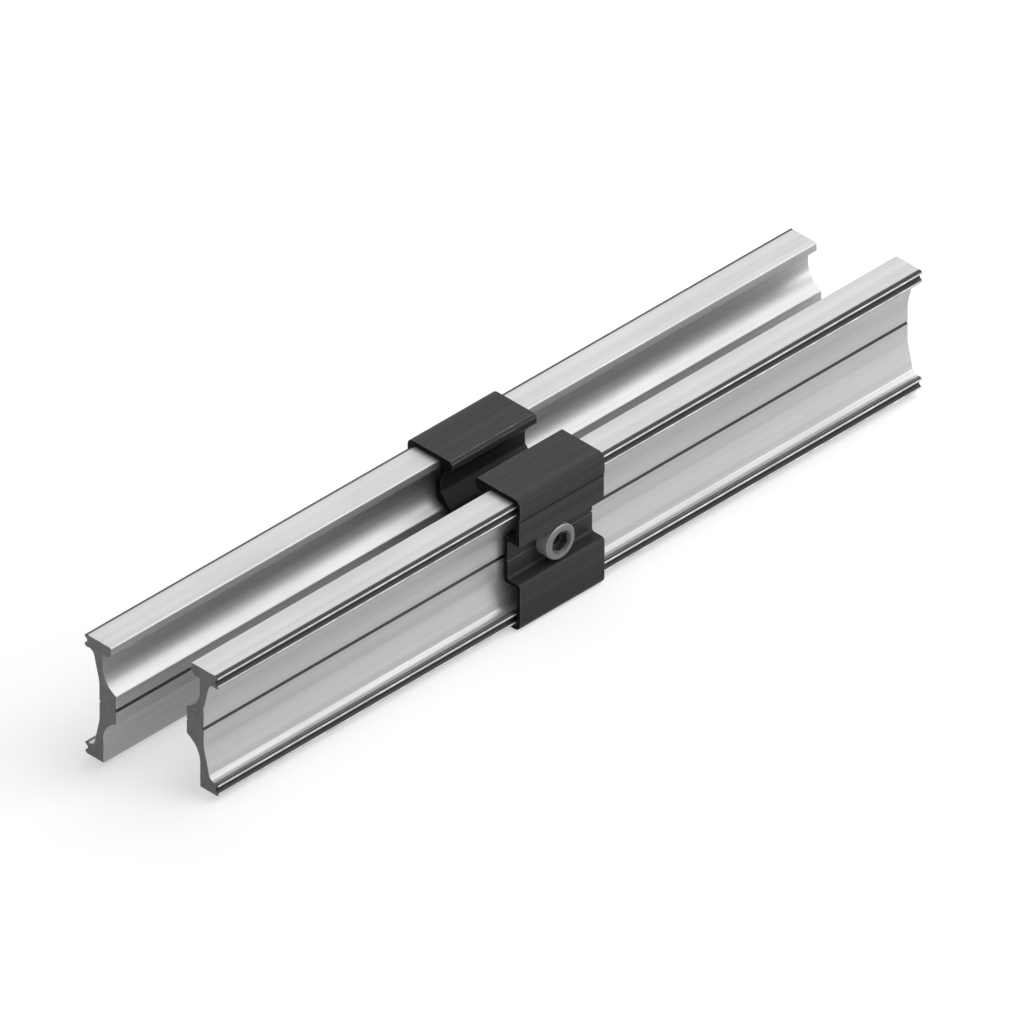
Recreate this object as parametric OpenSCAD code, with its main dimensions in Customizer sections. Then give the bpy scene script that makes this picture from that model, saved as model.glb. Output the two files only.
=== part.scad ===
// Connector that joins two lengths of slotted mounting rail end to end.
// A short piece of black rail section stays in the joint as the stop between the two rails.
// Two toothed aluminium bars run through it, and a screw in each side channel draws its bar
// outwards, so that the teeth bite the rails' side walls.
// X runs along the bars, Z is up, and the origin is the middle of the centre section's foot.

/* [Centre section] */
// Width over the side walls
section_w = 40; // [39:0.5:50]
// Height from the foot to the top
section_h = 40; // [39.5:0.5:44]
// Length along the rail
section_len = 30; // [20:1:60]
// Thickness of the side walls and channel walls
side_wall = 1.3; // [1:0.1:1.6]
// Thickness of the top and bottom plates
plate_t = 1.5; // [1.2:0.1:2]
// Radius of the four long outer corners
outer_r = 2; // [0.5:0.1:2.5]
// Depth of the band along the top of each side wall
band_h = 5.9; // [4:0.1:9]
// How far that band stands proud of the wall under it
band_proud = 0.25; // [0.1:0.05:0.4]

/* [Side channels] */
// Height of each channel
channel_h = 11.6; // [10.6:0.1:12.6]
// Depth of each channel
channel_depth = 4.4; // [4.1:0.1:4.6]
// Radius of the channel's lower lip
channel_lip_r = 1; // [0.3:0.1:1.2]
// Radius in the channel's lower inner corner
channel_root_r = 0.8; // [0.3:0.1:1.2]
// Clearance hole for the screw
screw_hole_d = 6.6; // [6.2:0.1:7.4]

/* [T-slot] */
// Reach of each lip over the neck under it
lip_reach = 2.7; // [2.2:0.1:4]
// Thickness of the lips at the mouth
lip_t = 2.6; // [2:0.1:3]
// Radius of the lips' upper edge
lip_r = 0.8; // [0.2:0.1:1]
// Height of the neck under the lips
neck_h = 1.4; // [1:0.1:2]
// How much further out than the neck the chamber reaches on each side
chamber_reach = 1.45; // [1:0.05:1.6]
// Height of the chamber's widest part
chamber_h = 3.6; // [3:0.1:4]
// Depth from the section's top to the floor
slot_depth = 17; // [16.5:0.1:18.5]
// Thickness of the web beside the neck
neck_web_t = 1.6; // [1.3:0.1:1.8]
// Thickness of the web beside the chamber
chamber_web_t = 1.7; // [1.3:0.1:1.9]
// Thickness of the web below the slot
core_web_t = 1.35; // [1:0.05:1.45]

/* [Bars] */
// Length of each bar
bar_len = 250; // [120:5:400]
// Distance from the middle of the bar to its threaded hole
hole_offset = 5; // [0:0.5:20]
// Width of the top flange from the tips of the teeth
flange_w = 9.6; // [8.8:0.1:9.8]
// Thickness of the top flange
flange_t = 3.5; // [3:0.1:4]
// Thickness of the bottom flange
foot_flange_t = 3.35; // [3:0.05:4]
// Distance from the tips of the teeth to the web's outer face
web_out = 5.15; // [5:0.05:5.4]
// Distance from the tips of the teeth to the web's inner face
web_in = 6.6; // [6.3:0.05:7]
// Distance from the tips of the teeth to the boss's face
boss_out = 11.3; // [10.8:0.1:11.5]
// Height of the boss's face
boss_h = 8.4; // [7.6:0.1:9]
// Radius of the hollows above and below the boss
hollow_r = 7; // [5:0.1:7.5]
// Rise of the boss's slopes, from its face back to the web
boss_rise = 2.8; // [2.4:0.1:3]
// Height of the slope from the top flange to the web's outer face
slope_h = 8.7; // [7:0.1:10]
// Height of the slope from the bottom flange to the web's outer face
foot_slope_h = 9.45; // [7:0.05:10]
// Width of the scored guide lines
score_w = 0.9; // [0.5:0.1:1.2]
// Depth of the scored guide lines
score_d = 0.4; // [0.2:0.05:0.5]

/* [Teeth] */
// Distance between the two teeth of a flange edge
tooth_pitch = 2.4; // [2:0.1:2.6]
// Height of a tooth
tooth_h = 0.9; // [0.5:0.1:1.1]
// Width of the flat at a tooth's tip
tooth_tip = 0.3; // [0.15:0.05:0.4]
// Rise of a tooth's flank
tooth_flank = 0.65; // [0.4:0.05:0.7]

/* [Screws] */
// Thread diameter
screw_d = 6; // [5:0.5:6]
// Length under the head
screw_len = 8; // [7:0.5:8]
// Head diameter
head_d = 10; // [9:0.1:10.4]
// Head height
head_h = 4; // [3.5:0.1:4.2]
// Socket size across flats
socket_af = 5; // [3:0.5:5]
// Socket depth
socket_depth = 2; // [1.5:0.1:2.4]
// Diameter of the countersink at the socket's mouth
socket_sink_d = 6.6; // [6:0.1:7]
// Diameter of the pilot recess in the socket's floor
pilot_d = 3; // [2:0.1:3.4]
// Depth of the pilot recess
pilot_depth = 0.8; // [0.4:0.1:1]
// Depth of the countersink
socket_sink_h = 0.5; // [0.3:0.1:0.8]
// Chamfer of the head's edge
head_chamfer = 0.35; // [0.1:0.05:0.5]
// Chamfer at the screw's point
point_chamfer = 0.6; // [0.3:0.1:1]

/* [Clearances] */
// Between the teeth and the side walls, with the screws tight
bite_gap = 0.05; // [0.02:0.01:0.1]
// Above and below a bar
bar_gap = 0.2; // [0.1:0.05:0.3]
// Radial clearance of a screw in its bar
thread_gap = 0.04; // [0.02:0.01:0.08]
// Under a screw's head
seat_gap = 0.02; // [0.01:0.01:0.05]
// Between a bar's boss and the core's web
core_gap = 1.35; // [1.2:0.05:1.5]
// Between a bar's inner lip and the slot's web
lip_gap = 0.65; // [0.6:0.05:0.8]

/* [Hidden] */

// Strips in a quarter turn of a small and of a large radius
small_steps = 6;
large_steps = 28;
large_from = 3;
bore_fn = 64;
// How far a cut reaches past the face that it opens
cut_over = 1;
score_over = 0.05;

// The steep edge of a lip's underside, and the fall from there to the neck
lip_edge_w = 1.2;
lip_edge_h = 0.95;
lip_fall = 0.35;
// Fall per width of the chamber's shoulders, and height of the upright sides at its floor
shoulder_slope = 1.3;
floor_side_h = 2.3;
// How far the web's corners on the bar's side lie under the slot's own corners
neck_web_drop = 0.8;
chamber_web_drop = 0.4;
bulge_drop = 2.6;
core_rise = 0.3;
// Radii in the slot
neck_r = 0.3;
shoulder_r = 0.8;
chamber_r = 1.2;
floor_slope_r = 1.6;
floor_r = 0.5;
// Radii in the spaces for the bars and in the cell
pocket_r = 0.4;
core_r = 0.6;
web_r = 1.6;
bulge_r = 3.2;
// Radii of the bars' flange roots, slopes, lip and boss
root_r = 1.8;
slope_r = 8;
lip_top_r = 0.45;
lip_root_r = 0.4;
boss_r = 0.5;
// Distance from the tips of the teeth to the flange roots
root_in = 2.95;
// Chamfer under the bars' inner lip
lip_chamfer = 1.1;
// Share of a tooth's height cut away at a flange's edge, and what that takes off its flank
edge_share = 0.6;
edge_less = 0.1;

half_w = section_w / 2;
mid_h = section_h / 2;
channel_top = mid_h + channel_h / 2;
channel_low = mid_h - channel_h / 2;
channel_back = half_w - channel_depth;
wall_in = half_w - side_wall;
tip_y = wall_in - bite_gap;
bar_top = section_h - plate_t - bar_gap;
bar_low = plate_t + bar_gap;
web_out_y = tip_y - web_out;
web_in_y = tip_y - web_in;
lip_y = tip_y - flange_w;
boss_y = tip_y - boss_out;
bar_hole_r = screw_d / 2 + thread_gap;
core_y = boss_y - core_gap;
slot_web_y = lip_y - lip_gap;
neck_y = slot_web_y - neck_web_t;
mouth_y = neck_y - lip_reach;
chamber_y = neck_y + chamber_reach;
chamber_web_y = chamber_y + chamber_web_t;
floor_y = core_y - core_web_t;
neck_z = section_h - lip_t - lip_edge_h - lip_fall;
chamber_top = neck_z - neck_h - chamber_reach * shoulder_slope;
chamber_low = chamber_top - chamber_h;
floor_z = section_h - slot_depth;
seat_y = channel_back + seat_gap;
// Width over a hexagon's corners, for one across its flats
hex_round = 2 / sqrt(3);
aluminium = [0.8, 0.81, 0.82];
black = [0.16, 0.16, 0.17];
steel = [0.5, 0.51, 0.52];

function unit(v) = v / norm(v);

// Points of the arc that rounds the corner at b, between its neighbours a and c
function rounded_corner(a, b, c, r) =
    let (
        to_a = unit(a - b),
        to_c = unit(c - b),
        half = acos(to_a * to_c) / 2,
        centre = b + unit(to_a + to_c) * r / sin(half),
        start = b + to_a * r / tan(half) - centre,
        turn = (to_a[0] * to_c[1] - to_a[1] * to_c[0] > 0 ? -1 : 1) * (180 - 2 * half),
        from = atan2(start[1], start[0]),
        quarter = r > large_from ? large_steps : small_steps,
        steps = max(2, ceil(quarter * abs(turn) / 90))
    )
    [for (i = [0:steps]) centre + r * [cos(from + turn * i / steps), sin(from + turn * i / steps)]];

function flat(p) = [p[0], p[1]];

// An outline from corners given as [y, z, radius]
function outline(corners) =
    let (n = len(corners))
    [for (i = [0:n - 1])
        each corners[i][2] > 0
            ? rounded_corner(flat(corners[(i + n - 1) % n]), flat(corners[i]),
                             flat(corners[(i + 1) % n]), corners[i][2])
            : [flat(corners[i])]];

// The same corners again on the other side of the centre plane
function both_sides(half) =
    concat(half, [for (i = [len(half) - 1:-1:0]) [-half[i][0], half[i][1], half[i][2]]]);

module along_x(length, middle = 0) {
    translate([middle - length / 2, 0, 0])
        rotate([90, 0, 90])
            linear_extrude(height = length)
                children();
}

module along_y(radius, from, to) {
    translate([0, from, mid_h])
        rotate([-90, 0, 0])
            cylinder(r = radius, h = to - from, $fn = bore_fn);
}

// A V cut whose mouth lies on the face at y, into the material towards the side given
module score(y, side) {
    polygon([
        [y - side * score_over, mid_h + score_w / 2],
        [y - side * score_over, mid_h - score_w / 2],
        [y + side * score_d, mid_h]
    ]);
}

module section_outside() {
    polygon(outline(both_sides([
        [half_w, section_h, outer_r],
        [half_w, section_h - band_h, 0],
        [half_w - band_proud, section_h - band_h, 0],
        [half_w - band_proud, channel_top, 0],
        [channel_back, channel_top, neck_r],
        [channel_back, channel_low, channel_root_r],
        [half_w, channel_low, channel_lip_r],
        [half_w, 0, outer_r]
    ])));
}

// The T-slot: mouth, neck under the lips, wide chamber and the sloping way down to its floor
module slot_inside() {
    polygon(outline(both_sides([
        [mouth_y + lip_r, section_h + lip_r, 0],
        [mouth_y + lip_r, section_h, 0],
        [mouth_y, section_h - lip_r, 0],
        [mouth_y, section_h - lip_t, 0],
        [mouth_y + lip_edge_w, neck_z + lip_fall, 0],
        [neck_y, neck_z, neck_r],
        [neck_y, neck_z - neck_h, shoulder_r],
        [chamber_y, chamber_top, chamber_r],
        [chamber_y, chamber_low, chamber_r],
        [floor_y, floor_z + floor_side_h, floor_slope_r],
        [floor_y, floor_z, floor_r]
    ])));
}

// The space for one bar, from the slot's web to the side wall
module bar_space() {
    polygon(outline([
        [slot_web_y, section_h - plate_t, pocket_r],
        [wall_in, section_h - plate_t, pocket_r],
        [wall_in, channel_top + side_wall, pocket_r],
        [channel_back - side_wall, channel_top + side_wall, channel_root_r],
        [channel_back - side_wall, channel_low - side_wall, channel_root_r],
        [wall_in, channel_low - side_wall, pocket_r],
        [wall_in, plate_t, pocket_r],
        [core_y, plate_t, core_r],
        [core_y, mid_h + boss_h / 2 + core_rise, shoulder_r],
        [chamber_web_y, chamber_low - bulge_drop, bulge_r],
        [chamber_web_y, chamber_top - chamber_web_drop, web_r],
        [slot_web_y, neck_z - neck_h - neck_web_drop, shoulder_r]
    ]));
}

// The closed cell under the slot's floor
module core_inside() {
    polygon(outline(both_sides([
        [floor_y, floor_z - plate_t, core_r],
        [floor_y, plate_t, core_r]
    ])));
}

module centre_section() {
    color(black)
    difference() {
        along_x(section_len)
            difference() {
                section_outside();
                slot_inside();
                bar_space();
                mirror([1, 0]) bar_space();
                core_inside();
                score(channel_back, -1);
                score(-channel_back, 1);
            }
        along_y(screw_hole_d / 2, channel_back - side_wall - cut_over, half_w + cut_over);
        along_y(screw_hole_d / 2, -half_w - cut_over, -channel_back + side_wall + cut_over);
    }
}

// Corners of one toothed flange edge, from the corner at z_edge along the given direction
function teeth(z_edge, dir) =
    let (first = z_edge + dir * (tooth_flank - edge_less))
    concat(
        [[tip_y - tooth_h * edge_share, z_edge, 0]],
        [for (i = [0:1])
            each [
                [tip_y, first + dir * i * tooth_pitch, 0],
                [tip_y, first + dir * (i * tooth_pitch + tooth_tip), 0],
                [tip_y - tooth_h * (i == 0 ? 1 : edge_share),
                 first + dir * (i * tooth_pitch + tooth_tip + tooth_flank), 0],
                if (i == 0)
                    [tip_y - tooth_h, first + dir * (tooth_pitch - tooth_flank), 0]
            ]]
    );

// The rear bar's profile; its teeth face +Y
module bar_profile() {
    low_teeth = teeth(bar_low, 1);
    difference() {
        polygon(outline(concat(
            [[lip_y, bar_top, lip_top_r]],
            teeth(bar_top, -1),
            [
                [tip_y - root_in, bar_top - flange_t, root_r],
                [web_out_y, bar_top - flange_t - slope_h, slope_r],
                [web_out_y, bar_low + foot_flange_t + foot_slope_h, slope_r],
                [tip_y - root_in, bar_low + foot_flange_t, root_r]
            ],
            [for (i = [len(low_teeth) - 1:-1:0]) low_teeth[i]],
            [
                [web_in_y, bar_low, 0],
                [web_in_y, mid_h - boss_h / 2 - boss_rise, hollow_r],
                [boss_y, mid_h - boss_h / 2, boss_r],
                [boss_y, mid_h + boss_h / 2, boss_r],
                [web_in_y, mid_h + boss_h / 2 + boss_rise, hollow_r],
                [web_in_y, bar_top - flange_t, lip_root_r],
                [lip_y + lip_chamfer, bar_top - flange_t, 0],
                [lip_y, bar_top - flange_t + lip_chamfer, 0]
            ]
        )));
        score(boss_y, 1);
        score(web_out_y, -1);
    }
}

module splice_bar() {
    difference() {
        along_x(bar_len, -hole_offset) bar_profile();
        along_y(bar_hole_r, boss_y - cut_over, web_out_y + cut_over);
    }
}

module splice_bar_rear() {
    color(aluminium) splice_bar();
}

module splice_bar_front() {
    color(aluminium) rotate([0, 0, 180]) splice_bar();
}

// The screw's axis is +Z here, with its seat at zero
module clamp_screw() {
    difference() {
        rotate_extrude($fn = bore_fn)
            polygon([
                [0, -screw_len],
                [screw_d / 2 - point_chamfer, -screw_len],
                [screw_d / 2, -screw_len + point_chamfer],
                [screw_d / 2, 0],
                [head_d / 2, 0],
                [head_d / 2, head_h - head_chamfer],
                [head_d / 2 - head_chamfer, head_h],
                [0, head_h]
            ]);
        // Two of the socket's corners stand upright in the fitted screw
        translate([0, 0, head_h - socket_depth])
            rotate([0, 0, 30])
                cylinder(d = socket_af * hex_round, h = socket_depth + cut_over, $fn = 6);
        translate([0, 0, head_h - socket_sink_h])
            cylinder(
                d1 = socket_sink_d - 2 * socket_sink_h, d2 = socket_sink_d,
                h = socket_sink_h, $fn = bore_fn
            );
        translate([0, 0, head_h - socket_depth - pilot_depth])
            cylinder(d = pilot_d, h = pilot_depth + cut_over, $fn = bore_fn);
    }
}

module clamp_screw_rear() {
    color(steel)
        translate([0, seat_y, mid_h]) rotate([-90, 0, 0]) clamp_screw();
}

module clamp_screw_front() {
    color(steel)
        rotate([0, 0, 180]) translate([0, seat_y, mid_h]) rotate([-90, 0, 0]) clamp_screw();
}

centre_section();
splice_bar_front();
splice_bar_rear();
clamp_screw_front();
clamp_screw_rear();
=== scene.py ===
# Pieces, finishes, light and camera for a solar rail connector: two toothed aluminium bars that run
# through a short black anodised piece of rail, each clamped by a socket screw in a side channel.
import math

import bmesh
import bpy
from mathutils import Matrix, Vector


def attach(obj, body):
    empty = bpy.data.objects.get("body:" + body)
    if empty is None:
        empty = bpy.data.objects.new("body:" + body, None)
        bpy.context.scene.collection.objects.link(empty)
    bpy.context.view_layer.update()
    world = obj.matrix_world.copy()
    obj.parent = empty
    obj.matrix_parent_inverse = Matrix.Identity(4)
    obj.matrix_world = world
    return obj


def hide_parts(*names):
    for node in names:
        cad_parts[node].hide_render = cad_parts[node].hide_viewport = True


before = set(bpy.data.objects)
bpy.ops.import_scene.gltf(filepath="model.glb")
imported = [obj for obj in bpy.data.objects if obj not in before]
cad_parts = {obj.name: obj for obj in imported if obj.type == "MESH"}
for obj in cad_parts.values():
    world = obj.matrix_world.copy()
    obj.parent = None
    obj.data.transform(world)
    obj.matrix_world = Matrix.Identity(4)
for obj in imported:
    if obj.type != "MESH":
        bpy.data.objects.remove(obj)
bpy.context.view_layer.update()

MM = 0.001

# Edges of the drawn profiles, broken by the die and the deburring
edge_break = 0.11 * MM
edge_steps = 2
merge_within = 0.001 * MM
flat_angle = math.radians(0.4)
corner_angle = math.radians(31)
smooth_angle = math.radians(40)

# M6 socket screws with a thin head and a pilot recess, and the turns that are wound past each end of
# the thread and trimmed
head_r = 5 * MM
head_h = 4 * MM
head_chamfer = 0.35 * MM
socket_af = 5 * MM
socket_depth = 2 * MM
sink_r = 3.3 * MM
sink_h = 0.5 * MM
pilot_r = 1.5 * MM
pilot_depth = 0.8 * MM
thread_r = 3 * MM
thread_pitch = 1 * MM
thread_depth = 0.541 * MM
spare_turns = 2
screw_len = 8 * MM
point_chamfer = 0.6 * MM
into_head = 0.5 * MM
screw_edge = 0.07 * MM
round_steps = 96
seat_y = 15.62 * MM
screw_z = 20 * MM

# The section's outer faces, which begin at the channels' back walls, and the lower edge of the band
# along their top. A line of painted shade lies under the band and one in each channel's scored groove,
# both given as half their width.
outer_face_y = 15.5 * MM
band_z = 34.1 * MM
band_line = 0.42 * MM
score_line = 0.45 * MM

# The tips of the bars' teeth, and the middle of the gap between two teeth above and below the screw
tooth_tip_y = 18.65 * MM
tooth_gap_z = 16.4 * MM

# Painted shade on the bars, each as where a fade begins and its width: off the middle of the scored
# groove, off the middle of the gap between two teeth, and under the teeth's tips, where the painted
# shade comes in and where it goes out below the gap's floor
score_shade = (0.46 * MM, 0.12 * MM)
gap_shade = (1.9 * MM, 0.2 * MM)
tip_shade = (0.05 * MM, 0.17 * MM)
gap_floor_shade = (1.0 * MM, 0.4 * MM)

# The width over which other lines and finishes fade, and where the painted light on a head's side
# begins
line_fade = 0.1 * MM
head_side_r = head_r - 0.15 * MM

# Depths of the fine relief: die lines and turned rings, saw marks, and saw marks under anodising
die_relief = 0.004 * MM
saw_relief = 0.012 * MM
black_saw_relief = 0.01 * MM

# Colours of the bars: between and on their die lines, stained, scratched, between and on their saw
# marks, at their edges and where those are rubbed, and the painted shade in their grooves
bar_dark = (0.4, 0.404, 0.41, 1)
bar_light = (0.52, 0.524, 0.53, 1)
bar_stain = (0.34, 0.34, 0.33, 1)
bar_scratch = (0.66, 0.66, 0.67, 1)
# The saw-mark colours are a sawn finish that is also painted darker as shade on the ends
bar_sawn_shaded_dark = (0.10, 0.10, 0.102, 1)
bar_sawn_shaded_light = (0.19, 0.19, 0.193, 1)
bar_edge = (0.33, 0.333, 0.337, 1)
bar_edge_rubbed = (0.58, 0.583, 0.588, 1)
bar_groove_shade = (0.012, 0.012, 0.012, 1)

# Colours of the section, in the same order, with its painted shade lines last
black_dark = (0.025, 0.025, 0.026, 1)
black_light = (0.039, 0.039, 0.040, 1)
black_stain = (0.045, 0.045, 0.045, 1)
black_scratch = (0.13, 0.13, 0.13, 1)
black_sawn_dark = (0.006, 0.006, 0.006, 1)
black_sawn_light = (0.013, 0.013, 0.014, 1)
black_edge = (0.03, 0.03, 0.031, 1)
black_edge_rubbed = (0.13, 0.13, 0.132, 1)
black_shade_line = (0.002, 0.002, 0.002, 1)

# Colours of the screws: between and on their turned rings, stained, in the socket, and painted light on
# the side of the head
steel_dark = (0.135, 0.135, 0.138, 1)
steel_light = (0.205, 0.205, 0.21, 1)
steel_stain = (0.17, 0.17, 0.17, 1)
steel_socket = (0.045, 0.045, 0.045, 1)
steel_side_painted_light = (0.52, 0.52, 0.525, 1)

# The floor, with the glow that makes it white where it is seen, and the world's level on the object
floor_size = 80
floor_drop = 0.05 * MM
floor_paint = (0.6, 0.6, 0.6, 1)
floor_glow = 0.48
world_level = 0.38
white = (1, 1, 1, 1)

# Lamps, by the direction in which they stand from the aim, their size and their power
lamp_distance = 1.2
lamps = {
    "overhead lamp": ((0.42, -0.36, 0.86), 1.2, 11),
    "back lamp": ((0.7, 0.6, 0.62), 1.0, 3),
    "side lamp": ((0.6, -0.79, 0.11), 0.45, 4),
}

# The photograph's view, a parallel one from the front left and above
seen_from = Vector((-1, -1, 1)).normalized()
aim = Vector((7.55, 5.45, 13.01)) * MM
picture_width = 257.3 * MM
lens = 1500
sensor = 36
nearest_seen = 0.1


# Modelling helpers

def leave_all():
    """Object mode, with nothing selected."""
    if bpy.context.object and bpy.context.object.mode != "OBJECT":
        bpy.ops.object.mode_set(mode="OBJECT")
    bpy.ops.object.select_all(action="DESELECT")


def pick(piece):
    """Object mode, with one piece selected and active."""
    leave_all()
    piece.select_set(True)
    bpy.context.view_layer.objects.active = piece


def open_up(piece, kind="VERT"):
    """Edit mode on one piece, with all of it selected."""
    pick(piece)
    bpy.ops.object.mode_set(mode="EDIT")
    bpy.ops.mesh.select_mode(type=kind)
    bpy.ops.mesh.select_all(action="SELECT")


def close_up():
    """Back to object mode."""
    bpy.ops.object.mode_set(mode="OBJECT")


def select_faces(piece, wanted):
    """In edit mode, selects the faces for which wanted(face) holds."""
    bpy.ops.mesh.select_mode(type="FACE")
    bpy.ops.mesh.select_all(action="DESELECT")
    bpy.ops.object.mode_set(mode="OBJECT")
    for face in piece.data.polygons:
        face.select = wanted(face)
    bpy.ops.object.mode_set(mode="EDIT")


def apply_all(piece):
    """Applies every modifier of a piece."""
    pick(piece)
    for name in [m.name for m in piece.modifiers]:
        bpy.ops.object.modifier_apply(modifier=name)


def break_edges(piece, width, finish_index=-1):
    """Rounds every outer corner sharper than corner_angle, in a finish of its own if one is given."""
    open_up(piece, "EDGE")
    bpy.ops.mesh.select_all(action="DESELECT")
    shape = bmesh.from_edit_mesh(piece.data)
    for edge in shape.edges:
        if edge.is_convex and edge.calc_face_angle() > corner_angle:
            edge.select_set(True)
    bmesh.update_edit_mesh(piece.data)
    bpy.ops.mesh.bevel(
        offset=width, segments=edge_steps, profile=0.5, affect="EDGES",
        clamp_overlap=True, material=finish_index)
    close_up()


def smooth(piece):
    """Round faces shade round and flat faces stay flat."""
    pick(piece)
    bpy.ops.object.shade_smooth_by_angle(angle=smooth_angle)
    flat = piece.modifiers.new("flat faces stay flat", "WEIGHTED_NORMAL")
    flat.keep_sharp = True
    apply_all(piece)


# Extrusions

def drawn_piece(node, name, drawn, sawn, worn):
    """A merged copy of an extrusion, with one finish along it, one on its ends and one on its edges."""
    piece = bpy.data.objects.new(name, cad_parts[node].data.copy())
    bpy.context.scene.collection.objects.link(piece)
    piece.data.materials.clear()
    for finish in (drawn, sawn, worn):
        piece.data.materials.append(finish)
    along, on_ends, on_edges = range(3)
    open_up(piece)
    bpy.ops.mesh.customdata_custom_splitnormals_clear()
    bpy.ops.mesh.remove_doubles(threshold=merge_within)
    bpy.ops.mesh.dissolve_limited(angle_limit=flat_angle)
    close_up()
    low = min(v.co.x for v in piece.data.vertices)
    high = max(v.co.x for v in piece.data.vertices)
    for face in piece.data.polygons:
        at_end = min(face.center.x - low, high - face.center.x) < merge_within
        face.material_index = on_ends if at_end else along
    break_edges(piece, edge_break, on_edges)
    smooth(piece)
    return piece


# Screws, made on the Y axis with the seat at y = 0 and the head towards -Y

def rod(radius, low, high, steps):
    """A plain cylinder along Y from low to high."""
    leave_all()
    bpy.ops.mesh.primitive_cylinder_add(
        vertices=steps, radius=radius, depth=high - low,
        location=(0, (low + high) / 2, 0), rotation=(math.radians(90), 0, 0))
    bpy.ops.object.transform_apply(location=True, rotation=True, scale=True)
    return bpy.context.object


def combine(piece, other, operation):
    """Cuts the other shape out of the piece, joins it on, or keeps what both share."""
    boolean = piece.modifiers.new("combined", "BOOLEAN")
    boolean.operation = operation
    boolean.solver = "EXACT"
    boolean.object = other
    apply_all(piece)
    bpy.data.objects.remove(other)


def chamfer_end(piece, y, width):
    """A 45 degree chamfer round the end of a rod."""
    open_up(piece)
    select_faces(piece, lambda f: abs(f.center.y - y) < merge_within)
    bpy.ops.mesh.region_to_loop()
    bpy.ops.mesh.bevel(offset=width, segments=1, affect="EDGES")
    close_up()


def screw_head():
    """The head, with its chamfer, countersink, hexagon socket and pilot recess."""
    head = rod(head_r, -head_h, 0, round_steps)
    chamfer_end(head, -head_h, head_chamfer)
    open_up(head)
    select_faces(head, lambda f: f.center.y < -head_h + merge_within)
    bpy.ops.mesh.inset(thickness=head_r - head_chamfer - sink_r)
    bpy.ops.mesh.inset(thickness=sink_h, depth=-sink_h)
    close_up()
    outside = -2 * head_h
    socket = rod(socket_af / math.sqrt(3), outside, socket_depth - head_h, 6)
    combine(head, socket, "DIFFERENCE")
    pilot = rod(pilot_r, outside, socket_depth + pilot_depth - head_h, round_steps // 2)
    combine(head, pilot, "DIFFERENCE")
    break_edges(head, screw_edge)
    return head


def wound_thread():
    """One pitch of the thread's outline, drawn point by point and wound along Y."""
    root_r = thread_r - thread_depth
    start = Vector((root_r, -spare_turns * thread_pitch, 0))
    crest_w = thread_pitch / 8
    root_w = thread_pitch / 4
    flank_w = (thread_pitch - crest_w - root_w) / 2
    root = (0, root_w, 0)
    rise = (thread_depth, flank_w, 0)
    crest = (0, crest_w, 0)
    fall = (-thread_depth, flank_w, 0)
    leave_all()
    bpy.ops.mesh.primitive_plane_add(size=MM, location=start)
    bpy.ops.object.transform_apply(location=True, rotation=True, scale=True)
    shank = bpy.context.object
    open_up(shank)
    bpy.ops.mesh.merge(type="CENTER")
    for step in (root, rise, crest, fall):
        bpy.ops.mesh.extrude_vertices_move(TRANSFORM_OT_translate={"value": step})
    close_up()
    winding = shank.modifiers.new("winding", "SCREW")
    winding.axis = "Y"
    winding.screw_offset = thread_pitch
    winding.iterations = math.ceil(screw_len / thread_pitch) + 2 * spare_turns
    winding.steps = round_steps // 2
    winding.render_steps = round_steps // 2
    apply_all(shank)
    open_up(shank)
    bpy.ops.mesh.remove_doubles(threshold=merge_within)
    spare = thread_pitch / 2
    for y, keep_above in ((-into_head - spare, True), (screw_len + spare, False)):
        bpy.ops.mesh.select_all(action="SELECT")
        bpy.ops.mesh.bisect(
            plane_co=(0, y, 0), plane_no=(0, 1, 0), use_fill=True,
            clear_inner=keep_above, clear_outer=not keep_above)
    bpy.ops.mesh.select_all(action="SELECT")
    bpy.ops.mesh.normals_make_consistent(inside=False)
    close_up()
    return shank


def screw_shank():
    """The thread, trimmed in the head and chamfered at the point by a blank thicker than it is."""
    blank = rod(thread_r + thread_pitch, -into_head, screw_len, round_steps)
    chamfer_end(blank, screw_len, thread_pitch + point_chamfer)
    shank = wound_thread()
    combine(shank, blank, "INTERSECT")
    return shank


def clamp_screw(name):
    """The whole screw, moved to its place in the front channel."""
    screw = screw_head()
    combine(screw, screw_shank(), "UNION")
    screw.name = name
    smooth(screw)
    open_up(screw)
    bpy.ops.transform.translate(value=(0, -seat_y, screw_z))
    close_up()
    screw.data.materials.clear()
    screw.data.materials.append(screw_steel)
    return screw


def turned_copy(piece, name):
    """The same piece half a turn about Z, for the rear side."""
    pick(piece)
    bpy.ops.object.duplicate()
    copy = bpy.context.object
    copy.name = name
    open_up(copy)
    bpy.ops.transform.rotate(value=math.pi, orient_axis="Z", center_override=(0, 0, 0))
    close_up()
    return copy


# Node helpers for the finishes

def add(tree, kind, inputs=None, **settings):
    """A node with its settings and its inputs: a value for a socket, or another node's output."""
    made = tree.nodes.new(kind)
    for key, value in settings.items():
        setattr(made, key, value)
    for key, value in (inputs or {}).items():
        if isinstance(value, bpy.types.NodeSocket):
            tree.links.new(value, made.inputs[key])
        else:
            made.inputs[key].default_value = value
    return made


def maths(tree, operation, *values):
    """The result of an operation on one or two values."""
    made = add(tree, "ShaderNodeMath", dict(enumerate(values)), operation=operation)
    return made.outputs[0]


def vectors(tree, operation, *values):
    """The results of an operation on one or two vectors, by name: Vector and Value."""
    made = add(tree, "ShaderNodeVectorMath", dict(enumerate(values)), operation=operation)
    return made.outputs


def ramp(tree, value, low, high, to_low=0.0, to_high=1.0):
    """Maps low..high to to_low..to_high, clamped."""
    made = add(tree, "ShaderNodeMapRange", {
        "Value": value, "From Min": low, "From Max": high, "To Min": to_low, "To Max": to_high})
    return made.outputs[0]


def fade_in(tree, value, start, width=line_fade):
    """0 up to a start, and 1 from a width past it."""
    return ramp(tree, value, start, start + width)


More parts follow.
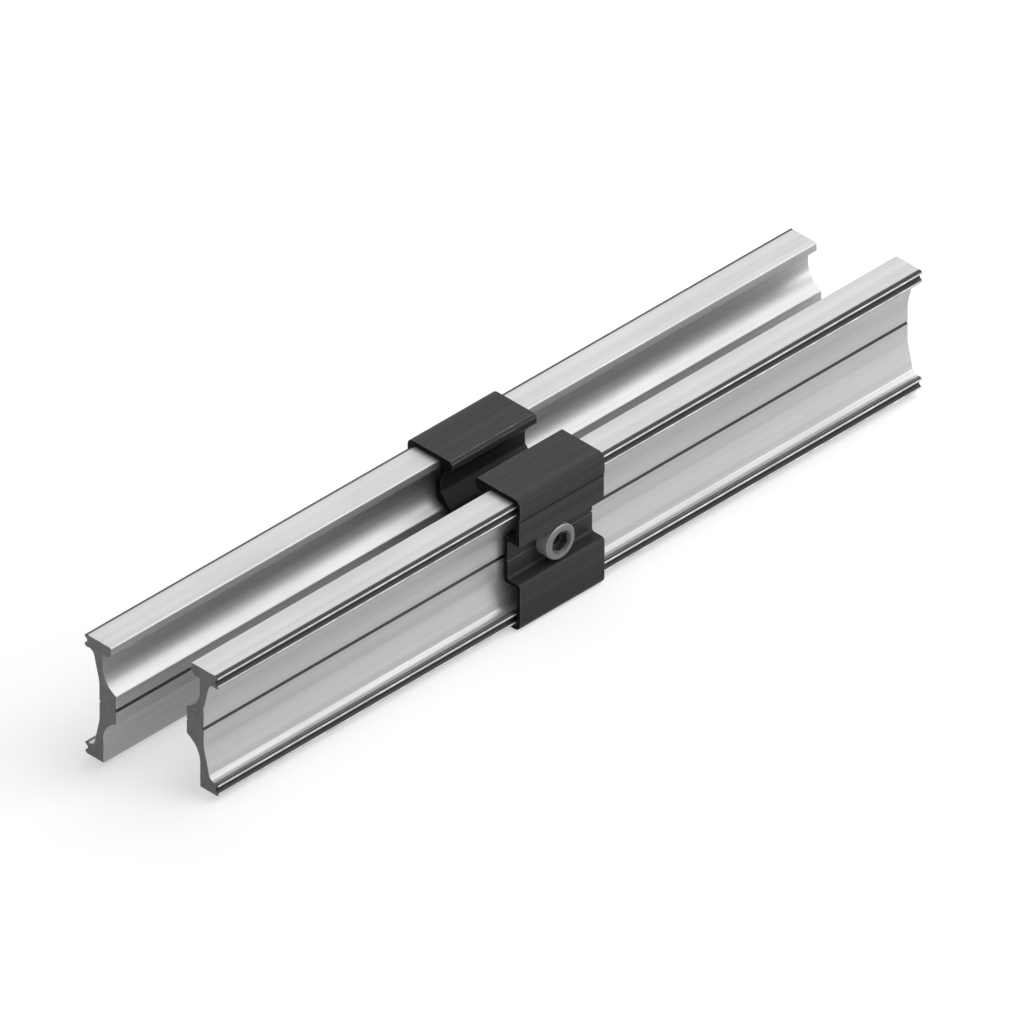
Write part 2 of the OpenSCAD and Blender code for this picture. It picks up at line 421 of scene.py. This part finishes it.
def fade_out(tree, value, start, width=line_fade):
    """1 up to a start, and 0 from a width past it."""
    return ramp(tree, value, start, start + width, 1.0, 0.0)


def between(tree, mask, low, high):
    """A value that goes from low, where the mask is 0, to high, where it is 1."""
    return ramp(tree, mask, 0, 1, low, high)


def off(tree, value, middle):
    """How far a value lies from a middle, to either side."""
    return maths(tree, "ABSOLUTE", maths(tree, "SUBTRACT", value, middle))


def weighed(tree, first, first_share, second, second_share):
    """The sum of two values, each times its share."""
    return maths(tree, "ADD", maths(tree, "MULTIPLY", first, first_share),
                 maths(tree, "MULTIPLY", second, second_share))


def blend(tree, factor, first, second):
    """Mixes two colours."""
    made = add(tree, "ShaderNodeMix", {0: factor, 6: first, 7: second}, data_type="RGBA")
    return made.outputs[2]


def tint(tree, colour, mask, share, towards):
    """Takes a colour a share of the way to another one, where the mask is up."""
    return blend(tree, maths(tree, "MULTIPLY", mask, share), colour, towards)


def stretched_noise(tree, place, grains, detail, roughness=0.6):
    """Noise with its own number of grains to the metre along X, Y and Z."""
    made = add(tree, "ShaderNodeTexNoise", {
        "Vector": vectors(tree, "MULTIPLY", place, grains)["Vector"],
        "Scale": 1.0, "Detail": detail, "Roughness": roughness})
    return made.outputs["Fac"]


# Effects, each a node group that takes a place and gives masks

def new_group(name, *labels):
    """An empty group: its tree, the place that it is given, and its masks by their labels."""
    group = bpy.data.node_groups.new(name, "ShaderNodeTree")
    group.interface.new_socket("Place", in_out="INPUT", socket_type="NodeSocketVector")
    for label in labels:
        group.interface.new_socket(label, in_out="OUTPUT", socket_type="NodeSocketFloat")
    entry = group.nodes.new("NodeGroupInput")
    leave = group.nodes.new("NodeGroupOutput")
    return group, entry.outputs["Place"], leave.inputs


def place_group(tree, group, place):
    """A group's masks in a finish."""
    return add(tree, "ShaderNodeGroup", {"Place": place}, node_tree=group).outputs


def die_lines_group():
    """Fine lines and broader bands that the die leaves along X."""
    group, place, masks = new_group("die lines", "Fine", "Broad")
    fine = stretched_noise(group, place, (9, 2600, 2600), detail=4, roughness=0.7)
    broad = stretched_noise(group, place, (2.5, 420, 420), detail=3, roughness=0.55)
    group.links.new(ramp(group, fine, 0.3, 0.7), masks["Fine"])
    group.links.new(ramp(group, broad, 0.32, 0.68), masks["Broad"])
    return group


def saw_marks_group():
    """Shallow arcs of a large saw blade across a cut face, and its torn fine grain."""
    group, place, masks = new_group("saw marks", "Arcs", "Grain")
    blade_middle = (0, 0.06, -0.17)
    radians_to_metre = 9500.0
    wander = 9.0
    on_face = vectors(group, "MULTIPLY", place, (0, 1, 1))["Vector"]
    reach = vectors(group, "DISTANCE", on_face, blade_middle)["Value"]
    drift = stretched_noise(group, place, (150, 150, 150), detail=2)
    wave = maths(group, "SINE", weighed(group, reach, radians_to_metre, drift, wander))
    depth = stretched_noise(group, place, (400, 400, 400), detail=2)
    arcs = maths(group, "MULTIPLY", ramp(group, wave, -1.0, 1.0), ramp(group, depth, 0.3, 0.65))
    group.links.new(arcs, masks["Arcs"])
    grain = stretched_noise(group, place, (5200, 5200, 5200), detail=3, roughness=0.7)
    group.links.new(ramp(group, grain, 0.3, 0.7), masks["Grain"])
    return group


def handling_group():
    """Sparse hairline scratches in two directions, and large faint stains."""
    group, place, masks = new_group("handling", "Scratches", "Stains")
    hairlines = []
    for angle, grains in ((24, (45, 5200, 5200)), (-38, (60, 6100, 6100))):
        turn = (math.radians(angle * 0.6), math.radians(angle), math.radians(angle))
        turned = add(group, "ShaderNodeMapping", {"Vector": place, "Rotation": turn}).outputs[0]
        lines = stretched_noise(group, turned, grains, detail=1)
        hairlines.append(ramp(group, lines, 0.715, 0.75))
    where = ramp(group, stretched_noise(group, place, (38, 38, 38), detail=2), 0.48, 0.62)
    scratches = maths(group, "MULTIPLY", maths(group, "MAXIMUM", *hairlines), where)
    group.links.new(scratches, masks["Scratches"])
    stains = stretched_noise(group, place, (26, 60, 60), detail=4, roughness=0.55)
    group.links.new(ramp(group, stains, 0.38, 0.68), masks["Stains"])
    return group


def groove_shade_group():
    """Painted shade on the bars, in the scored lines at mid height and between the teeth."""
    group, place, masks = new_group("painted groove shade", "Painted shade")
    parts = add(group, "ShaderNodeSeparateXYZ", {0: place}).outputs
    off_middle = off(group, parts["Z"], screw_z)
    off_gap = off(group, off_middle, tooth_gap_z)
    under_tips = maths(group, "SUBTRACT", tooth_tip_y, maths(group, "ABSOLUTE", parts["Y"]))
    in_gap = maths(group, "MULTIPLY", fade_out(group, off_gap, *gap_shade),
                   fade_in(group, under_tips, *tip_shade))
    in_gap = maths(group, "MULTIPLY", in_gap, fade_out(group, under_tips, *gap_floor_shade))
    in_score = fade_out(group, off_middle, *score_shade)
    group.links.new(maths(group, "MAXIMUM", in_score, in_gap), masks["Painted shade"])
    return group


def edge_wear_group():
    """Patches along the broken edges where handling has rubbed them."""
    group, place, masks = new_group("edge wear", "Rubbed")
    patches = stretched_noise(group, place, (260, 260, 260), detail=4)
    group.links.new(ramp(group, patches, 0.42, 0.66), masks["Rubbed"])
    return group


# Finishes

def new_finish(name, **constants):
    """A material with one Principled shader, and Object coordinates for its patterns."""
    finish = bpy.data.materials.new(name)
    finish.use_nodes = True
    tree = finish.node_tree
    tree.nodes.clear()
    shader = tree.nodes.new("ShaderNodeBsdfPrincipled")
    for key, value in constants.items():
        shader.inputs[key.replace("_", " ")].default_value = value
    add(tree, "ShaderNodeOutputMaterial", {0: shader.outputs[0]})
    place = tree.nodes.new("ShaderNodeTexCoord").outputs["Object"]
    return finish, tree, shader, place


def set_surface(tree, shader, colour, roughness):
    """Gives the shader its colour and its roughness."""
    tree.links.new(colour, shader.inputs["Base Color"])
    tree.links.new(roughness, shader.inputs["Roughness"])


def shape_light(tree, shader, height, distance):
    """Fine relief from a height."""
    bump = add(tree, "ShaderNodeBump", {"Height": height, "Distance": distance, "Strength": 1.0})
    tree.links.new(bump.outputs[0], shader.inputs["Normal"])


def extruded_aluminium():
    """The bars' drawn faces, with die lines, faint stains, scratches and painted shade in the grooves.
    """
    finish, tree, shader, place = new_finish("extruded aluminium", Metallic=0.55)
    lines = place_group(tree, die_lines, place)
    marks = place_group(tree, handling, place)
    groove_shade_mask = place_group(tree, groove_shade, place)["Painted shade"]
    tone = weighed(tree, lines["Fine"], 0.45, lines["Broad"], 0.55)
    colour = blend(tree, tone, bar_dark, bar_light)
    colour = tint(tree, colour, marks["Stains"], 0.16, bar_stain)
    colour = tint(tree, colour, marks["Scratches"], 0.5, bar_scratch)
    # Painted shade: the scored groove and the gaps between teeth are darkened nearly to black
    colour = tint(tree, colour, groove_shade_mask, 0.98, bar_groove_shade)
    roughness = maths(tree, "ADD", between(tree, lines["Fine"], 0.36, 0.46),
                      maths(tree, "MULTIPLY", marks["Stains"], 0.07))
    set_surface(tree, shader, colour, roughness)
    shape_light(tree, shader, maths(tree, "SUBTRACT", tone, marks["Scratches"]), die_relief)
    return finish


def sawn_aluminium():
    """The bars' cut ends: a sawn finish, its colour painted darker as shade on the ends."""
    finish, tree, shader, place = new_finish("sawn aluminium with painted shade", Metallic=0.8)
    marks = place_group(tree, saw_marks, place)
    tone = weighed(tree, marks["Arcs"], 0.6, marks["Grain"], 0.4)
    # Sawn finish, partly real and partly painted shade on the ends
    colour = blend(tree, tone, bar_sawn_shaded_dark, bar_sawn_shaded_light)
    set_surface(tree, shader, colour, between(tree, marks["Grain"], 0.42, 0.6))
    shape_light(tree, shader, tone, saw_relief)
    return finish


def black_anodised():
    """The section's drawn faces, with a line of painted shade under the band and one in each channel's
    groove.
    """
    finish, tree, shader, place = new_finish("black anodised", Metallic=0.0, Specular_IOR_Level=0.1)
    lines = place_group(tree, die_lines, place)
    marks = place_group(tree, handling, place)
    colour = blend(tree, lines["Broad"], black_dark, black_light)
    colour = tint(tree, colour, marks["Stains"], 0.2, black_stain)
    colour = tint(tree, colour, marks["Scratches"], 0.35, black_scratch)
    parts = add(tree, "ShaderNodeSeparateXYZ", {0: place}).outputs
    off_under_band = off(tree, parts["Z"], band_z - band_line)
    off_middle = off(tree, parts["Z"], screw_z)
    off_lines = maths(tree, "MINIMUM", maths(tree, "SUBTRACT", off_under_band, band_line),
                      maths(tree, "SUBTRACT", off_middle, score_line))
    on_outer_face = fade_in(tree, maths(tree, "ABSOLUTE", parts["Y"]), outer_face_y)
    on_lines = maths(tree, "MULTIPLY", fade_out(tree, off_lines, 0.0), on_outer_face)
    # Painted shade: dark lines under the band and in the channels' scored grooves
    colour = tint(tree, colour, on_lines, 0.96, black_shade_line)
    set_surface(tree, shader, colour, between(tree, lines["Fine"], 0.34, 0.46))
    shape_light(tree, shader, lines["Fine"], die_relief)
    return finish


def sawn_black():
    """The section's cut ends, anodised after sawing."""
    finish, tree, shader, place = new_finish("sawn and anodised", Metallic=0.0, Specular_IOR_Level=0.06)
    marks = place_group(tree, saw_marks, place)
    colour = blend(tree, marks["Arcs"], black_sawn_dark, black_sawn_light)
    set_surface(tree, shader, colour, between(tree, marks["Grain"], 0.5, 0.65))
    shape_light(tree, shader, marks["Arcs"], black_saw_relief)
    return finish


def rubbed_edges(name, metallic, kept, rubbed, shaded_grooves):
    """Broken edges with rubbed patches and scratches; those of the bars get painted shade at their
    grooves.
    """
    finish, tree, shader, place = new_finish(name, Metallic=metallic)
    lines = place_group(tree, die_lines, place)
    marks = place_group(tree, handling, place)
    patches = place_group(tree, edge_wear, place)["Rubbed"]
    wear = maths(tree, "MAXIMUM", patches, maths(tree, "MULTIPLY", marks["Scratches"], 0.8))
    colour = blend(tree, wear, kept, rubbed)
    if shaded_grooves:
        groove_shade_mask = place_group(tree, groove_shade, place)["Painted shade"]
        # Painted shade: the edges in the grooves are darkened nearly to black
        colour = tint(tree, colour, groove_shade_mask, 0.98, bar_groove_shade)
    set_surface(tree, shader, colour, between(tree, lines["Fine"], 0.36, 0.5))
    return finish


def turned_steel():
    """Stainless steel with the fine rings of turning round each screw's axis."""
    finish, tree, shader, place = new_finish("turned stainless steel", Metallic=0.55)
    from_middle = vectors(tree, "SUBTRACT", place, (0, 0, screw_z))["Vector"]
    from_axis = vectors(tree, "MULTIPLY", from_middle, (1, 0, 1))["Vector"]
    reach = vectors(tree, "LENGTH", from_axis)["Value"]
    depth = add(tree, "ShaderNodeSeparateXYZ", {0: place}).outputs["Y"]
    turned = add(tree, "ShaderNodeCombineXYZ", {"X": reach, "Y": depth}).outputs[0]
    rings = stretched_noise(tree, turned, (4200, 4200, 1), detail=3, roughness=0.7)
    rings = ramp(tree, rings, 0.3, 0.7)
    marks = place_group(tree, handling, place)
    colour = blend(tree, rings, steel_dark, steel_light)
    colour = tint(tree, colour, marks["Stains"], 0.3, steel_stain)
    past_seat = maths(tree, "SUBTRACT", maths(tree, "ABSOLUTE", depth), seat_y)
    in_socket = maths(tree, "MULTIPLY", fade_out(tree, reach, sink_r),
                      fade_in(tree, past_seat, line_fade))
    colour = tint(tree, colour, in_socket, 0.85, steel_socket)
    # Painted light: the side of the head is coloured much lighter than the rest of the screw
    colour = blend(tree, fade_in(tree, reach, head_side_r), colour, steel_side_painted_light)
    set_surface(tree, shader, colour, between(tree, rings, 0.34, 0.46))
    shape_light(tree, shader, rings, die_relief)
    return finish


die_lines = die_lines_group()
saw_marks = saw_marks_group()
handling = handling_group()
groove_shade = groove_shade_group()
edge_wear = edge_wear_group()
bar_faces = extruded_aluminium()
bar_ends = sawn_aluminium()
bar_edges = rubbed_edges("rubbed aluminium edges", 0.7, bar_edge, bar_edge_rubbed, shaded_grooves=True)
section_faces = black_anodised()
section_ends = sawn_black()
section_edges = rubbed_edges("rubbed black edges", 0.3, black_edge, black_edge_rubbed, shaded_grooves=False)
screw_steel = turned_steel()


# The pieces

section = drawn_piece("centre_section", "rail_section", section_faces, section_ends, section_edges)
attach(section, "section")
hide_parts("centre_section")

front_screw = clamp_screw("socket_screw_front")
rear_screw = turned_copy(front_screw, "socket_screw_rear")

for side, screw in (("front", front_screw), ("rear", rear_screw)):
    bar = drawn_piece(f"splice_bar_{side}", f"toothed_bar_{side}", bar_faces, bar_ends, bar_edges)
    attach(bar, f"{side}_bar")
    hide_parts(f"splice_bar_{side}")
    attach(screw, f"{side}_screw")
    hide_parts(f"clamp_screw_{side}")


# Floor, light and camera

def in_view(tree):
    """1 for what is seen, straight or in a reflection, and 0 for the light that the object gets."""
    path = tree.nodes.new("ShaderNodeLightPath").outputs
    seen = maths(tree, "MAXIMUM", path["Is Camera Ray"], path["Is Glossy Ray"])
    return maths(tree, "MAXIMUM", seen, path["Is Transmission Ray"])


def pale_floor():
    """White floor that keeps the object's shadow and looks white to the camera and in the metal."""
    finish = bpy.data.materials.new("pale floor")
    finish.use_nodes = True
    tree = finish.node_tree
    tree.nodes.clear()
    paint = add(tree, "ShaderNodeBsdfDiffuse", {"Color": floor_paint})
    strength = maths(tree, "MULTIPLY", in_view(tree), floor_glow)
    glow = add(tree, "ShaderNodeEmission", {"Strength": strength})
    both = add(tree, "ShaderNodeAddShader", {0: paint.outputs[0], 1: glow.outputs[0]})
    add(tree, "ShaderNodeOutputMaterial", {0: both.outputs[0]})
    return finish


def lay_floor():
    """A floor that fills the picture, just under the section's foot."""
    leave_all()
    bpy.ops.mesh.primitive_plane_add(size=floor_size, location=(0, 0, -floor_drop))
    floor = bpy.context.object
    floor.name = "floor"
    floor.data.materials.append(pale_floor())


def light_world():
    """White where it is seen, and a softer even light on the object."""
    world = bpy.data.worlds.new("studio")
    bpy.context.scene.world = world
    world.use_nodes = True
    tree = world.node_tree
    tree.nodes.clear()
    strength = between(tree, in_view(tree), world_level, 1.0)
    shown = add(tree, "ShaderNodeBackground", {"Color": white, "Strength": strength})
    add(tree, "ShaderNodeOutputWorld", {0: shown.outputs[0]})


def hang_lamp(name, towards, size, power):
    """A square area light that faces the aim and is unseen itself."""
    lamp = bpy.data.lights.new(name, "AREA")
    lamp.shape = "SQUARE"
    lamp.size = size
    lamp.energy = power
    holder = bpy.data.objects.new(name, lamp)
    bpy.context.scene.collection.objects.link(holder)
    direction = Vector(towards).normalized()
    holder.location = aim + direction * lamp_distance
    holder.rotation_mode = "QUATERNION"
    holder.rotation_quaternion = direction.to_track_quat("Z", "Y")
    holder.visible_camera = False


def place_camera():
    """A very long lens, far enough away for a view that is nearly parallel."""
    distance = picture_width * lens / sensor
    optics = bpy.data.cameras.new("camera")
    optics.lens = lens
    optics.sensor_width = sensor
    optics.clip_start = nearest_seen
    optics.clip_end = 4 * distance
    camera = bpy.data.objects.new("camera", optics)
    bpy.context.scene.collection.objects.link(camera)
    camera.location = aim + seen_from * distance
    camera.rotation_mode = "QUATERNION"
    camera.rotation_quaternion = seen_from.to_track_quat("Z", "Y")
    bpy.context.scene.camera = camera


lay_floor()
light_world()
for lamp_name, (towards, size, power) in lamps.items():
    hang_lamp(lamp_name, towards, size, power)
place_camera()

bpy.context.scene.view_settings.view_transform = "Standard"
